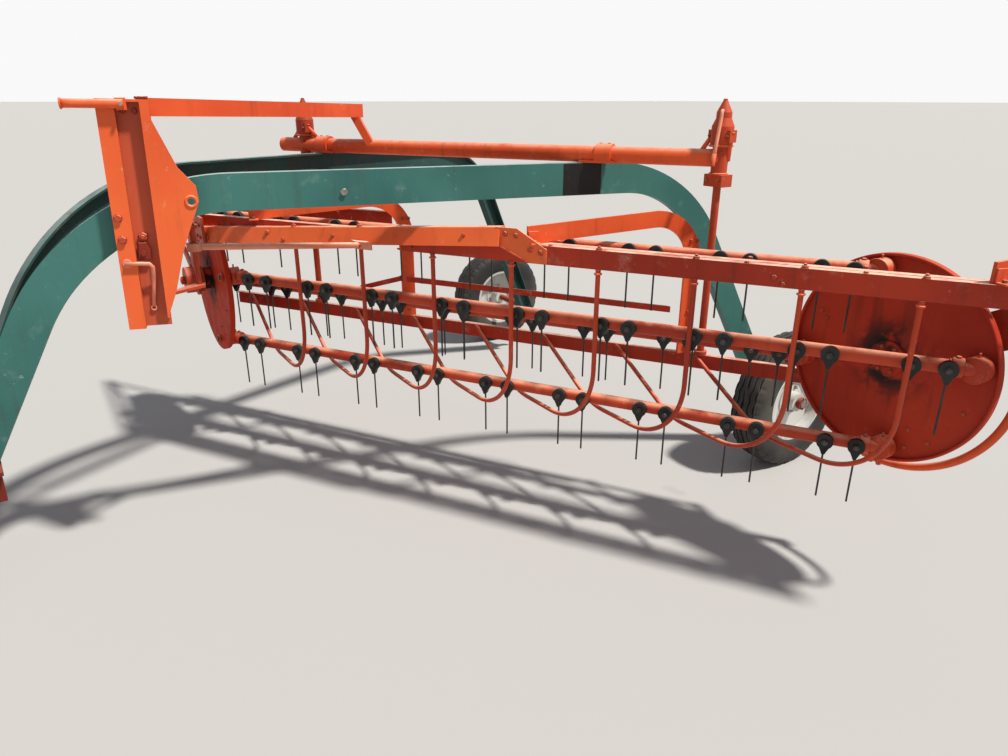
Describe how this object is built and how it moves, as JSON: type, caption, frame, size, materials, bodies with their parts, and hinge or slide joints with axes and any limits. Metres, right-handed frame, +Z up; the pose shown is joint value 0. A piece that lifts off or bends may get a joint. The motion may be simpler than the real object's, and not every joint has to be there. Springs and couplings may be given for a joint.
{
  "type": "rotary hay rake",
  "caption": "Towed side-delivery hay rake: an oblique reel of tined bars between two discs hangs in a rail basket under a two-legged arch frame on two wheels and a jack.",
  "frame": {"origin": "on the ground, below the middle of the outer box", "axes": "+Z up, -Y forward towards the drawbar, +X the left side of the machine"},
  "size_m": [3.9619, 5.0428, 1.713],
  "materials": {
    "green_paint": "faded teal green paint, chipped and scuffed",
    "black_paint": "dull black paint",
    "dark_red_paint": "dark red paint with rust",
    "red_paint": "weathered red paint",
    "grey_steel": "grey weathered steel",
    "orange_paint": "sun-faded orange-red paint",
    "tyre_rubber": "dusty black tyre rubber",
    "white_paint": "chalky white paint",
    "rail_paint": "orange-red paint, faded to pink on top",
    "pale_paint": "pink-faded paint",
    "disc_paint": "red paint with dark grease",
    "bar_paint": "orange-red paint, worn",
    "black_rubber": "black moulded rubber",
    "dark_steel": "dark spring wire"
  },
  "bodies": {
    "frame": {"near_beam": "green_paint", "far_beam": "green_paint", "beam_band": "black_paint", "hitch_head": "dark_red_paint", "drawbar": "red_paint", "hitch_clevis": "dark_red_paint", "jack_tube": "grey_steel", "mast": "orange_paint", "boom": "orange_paint", "lift_tube": "orange_paint", "tube_saddles": "orange_paint", "lift_sleeves": "red_paint", "link_guide": "red_paint", "axle_left": "dark_red_paint", "axle_right": "dark_red_paint"},
    "jack": {"jack_leg": "grey_steel"},
    "wheel_left": {"tyre_left": "tyre_rubber", "rim_left": "white_paint"},
    "wheel_right": {"tyre_right": "tyre_rubber", "rim_right": "white_paint"},
    "basket": {"front_bar": "orange_paint", "near_rail": "rail_paint", "low_rail": "orange_paint", "mid_rail": "orange_paint", "arch_bars": "orange_paint", "front_end": "red_paint", "rear_end": "red_paint", "strippers": "orange_paint", "end_guard": "orange_paint", "lift_rods": "red_paint", "drag_link": "pale_paint"},
    "front_disc": {"disc_front": "disc_paint"},
    "rear_disc": {"disc_rear": "disc_paint"},
    "tine_bar_1": {"bar_1": "bar_paint", "blocks_1": "black_rubber", "tines_1": "dark_steel"},
    "tine_bar_2": {"bar_2": "bar_paint", "blocks_2": "black_rubber", "tines_2": "dark_steel"},
    "tine_bar_3": {"bar_3": "bar_paint", "blocks_3": "black_rubber", "tines_3": "dark_steel"},
    "tine_bar_4": {"bar_4": "bar_paint", "blocks_4": "black_rubber", "tines_4": "dark_steel"}
  },
  "joints": [
    {"name": "wheel_left_spin", "type": "hinge", "parent": "frame", "child": "wheel_left", "pos_m": [0.60504, 2.1914, 0.33], "axis": [1, 0, 0], "continuous": true},
    {"name": "wheel_right_spin", "type": "hinge", "parent": "frame", "child": "wheel_right", "pos_m": [-1.88496, 2.05521, 0.33], "axis": [1, 0, 0], "continuous": true},
    {"name": "jack_slide", "type": "slide", "parent": "frame", "child": "jack", "axis": [0, 0, 1], "range_m": [0, 0.19]},
    {"name": "basket_lift", "type": "slide", "parent": "frame", "child": "basket", "axis": [0, 0, 1], "range_m": [-0.1, 0.04]},
    {"name": "reel_spin", "type": "hinge", "parent": "basket", "child": "front_disc", "pos_m": [-1.24496, -0.06908, 0.853], "axis": [0, 1, 0], "continuous": true},
    {"name": "rear_disc_spin", "type": "hinge", "parent": "basket", "child": "rear_disc", "pos_m": [1.34504, 1.67892, 0.853], "axis": [0, 1, 0], "continuous": true},
    {"name": "tine_bar_1_turn", "type": "hinge", "parent": "front_disc", "child": "tine_bar_1", "pos_m": [-0.93508, -0.06908, 0.91492], "axis": [0, 1, 0], "continuous": true},
    {"name": "tine_bar_2_turn", "type": "hinge", "parent": "front_disc", "child": "tine_bar_2", "pos_m": [-1.18304, -0.06908, 0.54313], "axis": [0, 1, 0], "continuous": true},
    {"name": "tine_bar_3_turn", "type": "hinge", "parent": "front_disc", "child": "tine_bar_3", "pos_m": [-1.55483, -0.06908, 0.79108], "axis": [0, 1, 0], "continuous": true},
    {"name": "tine_bar_4_turn", "type": "hinge", "parent": "front_disc", "child": "tine_bar_4", "pos_m": [-1.30688, -0.06908, 1.16287], "axis": [0, 1, 0], "continuous": true}
  ],
  "couplings": [
    {"joint": "rear_disc_spin", "follows": "reel_spin", "ratio": 1},
    {"joint": "tine_bar_1_turn", "follows": "reel_spin", "ratio": -1},
    {"joint": "tine_bar_2_turn", "follows": "reel_spin", "ratio": -1},
    {"joint": "tine_bar_3_turn", "follows": "reel_spin", "ratio": -1},
    {"joint": "tine_bar_4_turn", "follows": "reel_spin", "ratio": -1}
  ]
}
